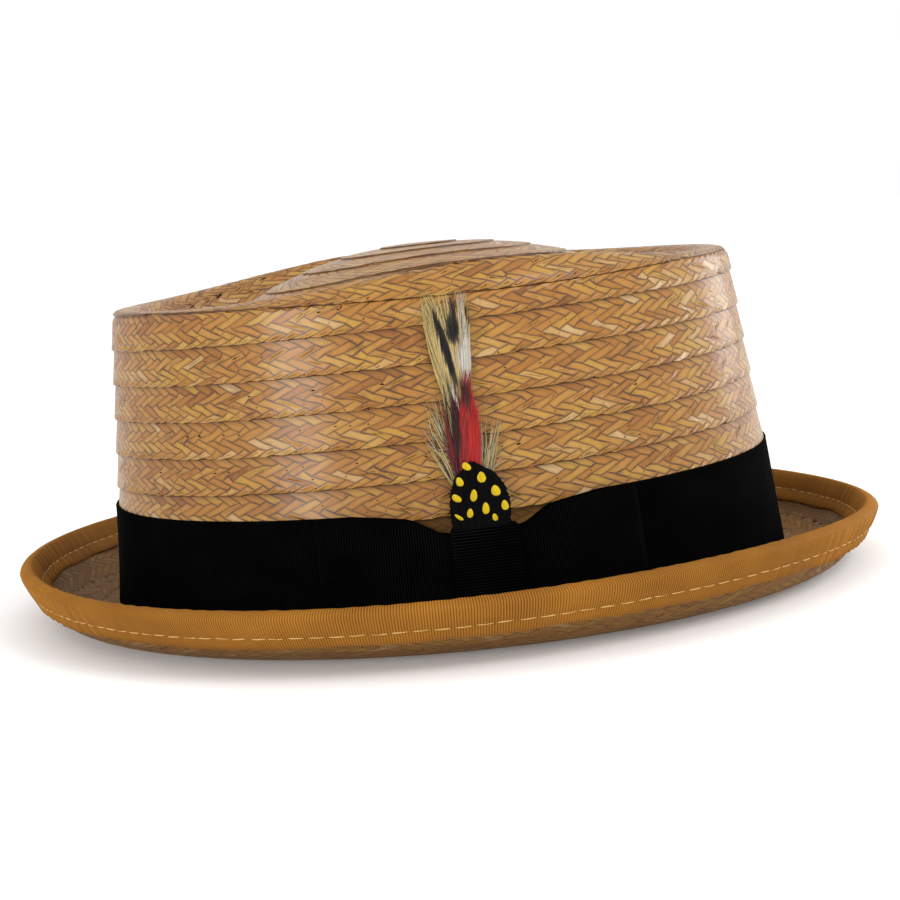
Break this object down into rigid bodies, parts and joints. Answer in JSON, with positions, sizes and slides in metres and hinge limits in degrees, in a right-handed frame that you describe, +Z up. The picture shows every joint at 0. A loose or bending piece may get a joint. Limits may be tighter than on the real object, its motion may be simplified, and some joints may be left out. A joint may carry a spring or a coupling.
{
  "type": "porkpie hat",
  "caption": "Straw porkpie hat with a flat creased crown, upturned bound brim, ribbon band, flat side bow and a spray of feathers.",
  "frame": {"origin": "centre of the hat's bounding box in plan, on the surface that the brim rests on", "axes": "-X to the front of the hat, +X to the back, -Y to the wearer's left with the bow and feathers, +Z up out of the crown"},
  "size_m": [0.2606, 0.2492, 0.1034],
  "materials": {
    "straw": "plaited golden straw, semi-gloss",
    "binding": "golden brown ribbed ribbon, matte",
    "band": "black ribbed ribbon, matte",
    "bow": "black ribbed ribbon, matte",
    "knot": "black ribbed ribbon, matte",
    "barred_feather": "feather, beige and yellow with black bars, soft sheen",
    "red_feather": "dyed red feather, soft sheen",
    "spotted_feather": "black feather with yellow spots, matte"
  },
  "bodies": {
    "root": {"straw_body": "straw", "brim_binding": "binding", "hat_band": "band", "bow_loop": "bow", "bow_knot": "knot", "feather_barred": "barred_feather", "feather_red": "red_feather", "feather_spotted": "spotted_feather"}
  },
  "joints": []
}
